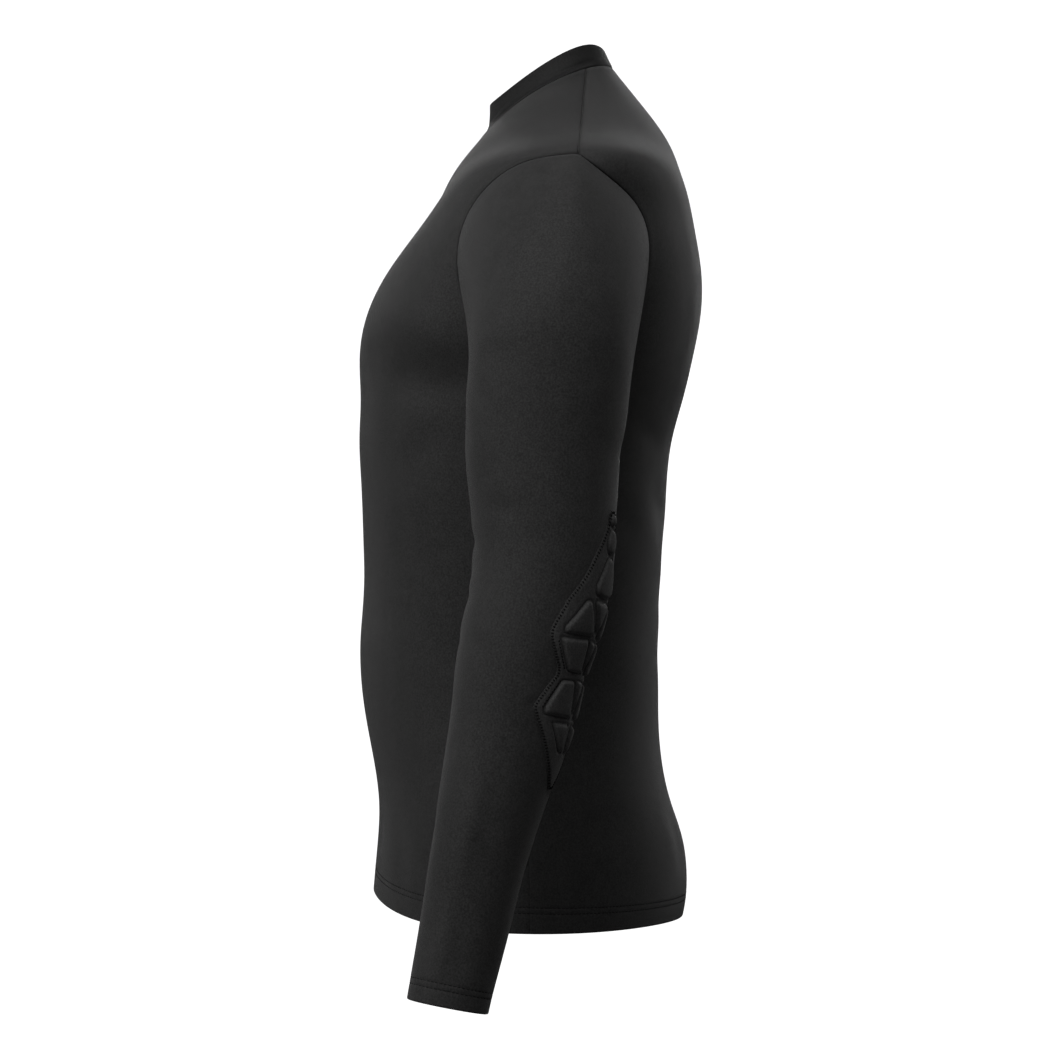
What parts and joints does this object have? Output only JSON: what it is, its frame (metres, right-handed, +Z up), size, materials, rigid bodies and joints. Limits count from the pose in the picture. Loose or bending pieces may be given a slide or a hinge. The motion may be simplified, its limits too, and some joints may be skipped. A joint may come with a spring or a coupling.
{
  "type": "padded compression shirt",
  "caption": "Close-fitting long-sleeved compression shirt with a short stand collar and a quilted foam pad sewn over each elbow, hollow as worn.",
  "frame": {"origin": "middle of the neck opening, level with the shoulders, on the shirt's plane of symmetry, where the wearer's neck and shoulders hold it", "axes": "+Z up along the standing wearer, -Y towards the wearer's front, +X towards the wearer's left"},
  "size_m": [0.5976, 0.2725, 0.7371],
  "materials": {
    "shirt_cloth": "smooth black stretch jersey of polyester and elastane, matt with a soft silvery sheen at glancing angles",
    "pad_cloth": "the same smooth black stretch jersey, quilted over foam blocks"
  },
  "bodies": {
    "root": {"front_body": "shirt_cloth", "back_body": "shirt_cloth", "sleeve_left": "shirt_cloth", "sleeve_right": "shirt_cloth", "collar": "shirt_cloth", "elbow_pad_left": "pad_cloth", "elbow_pad_right": "pad_cloth"}
  },
  "joints": []
}
